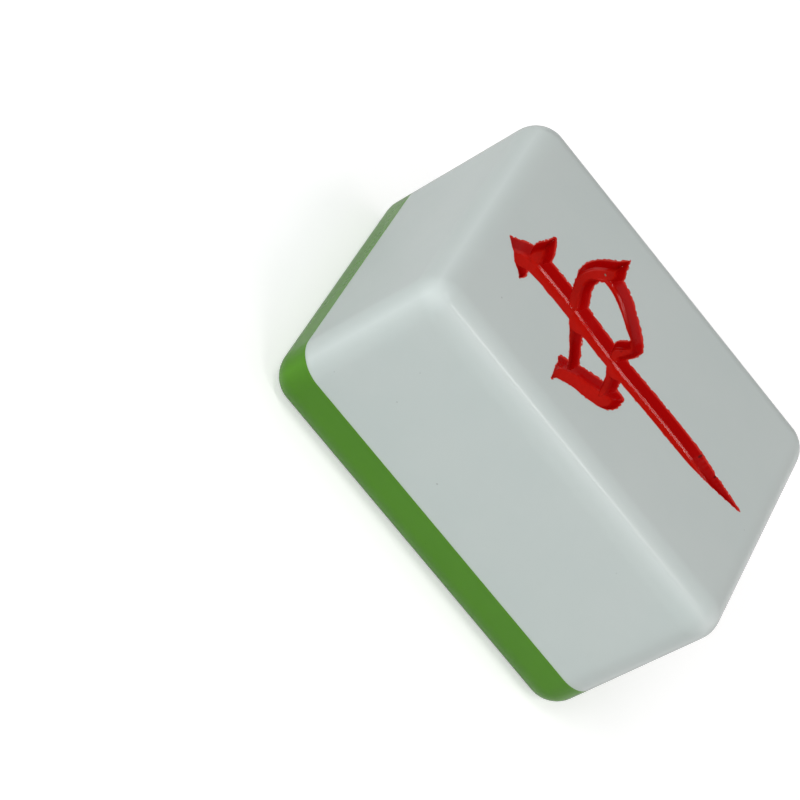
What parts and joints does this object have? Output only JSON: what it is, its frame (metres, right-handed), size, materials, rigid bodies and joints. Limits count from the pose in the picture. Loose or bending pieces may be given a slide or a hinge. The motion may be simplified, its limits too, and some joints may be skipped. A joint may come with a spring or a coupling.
{
  "type": "mahjong tile",
  "caption": "Two-layer mahjong tile: white block with an engraved, red-painted middle-dragon character, bonded to a ribbed green back.",
  "frame": {"origin": "centre of the back face, on the surface that the tile lies on", "axes": "+Z out of the engraved face, +Y up the character, +X to the right as the face is read"},
  "size_m": [0.0332, 0.044, 0.0232],
  "materials": {
    "white_body": "polished cool-white melamine resin, softly glossy",
    "green_back": "polished leaf-green melamine resin, softly glossy",
    "red_paint": "brushed red gloss enamel, pooled in the grooves"
  },
  "bodies": {
    "root": {"front_block": "white_body", "back_layer": "green_back", "character_paint": "red_paint"}
  },
  "joints": []
}
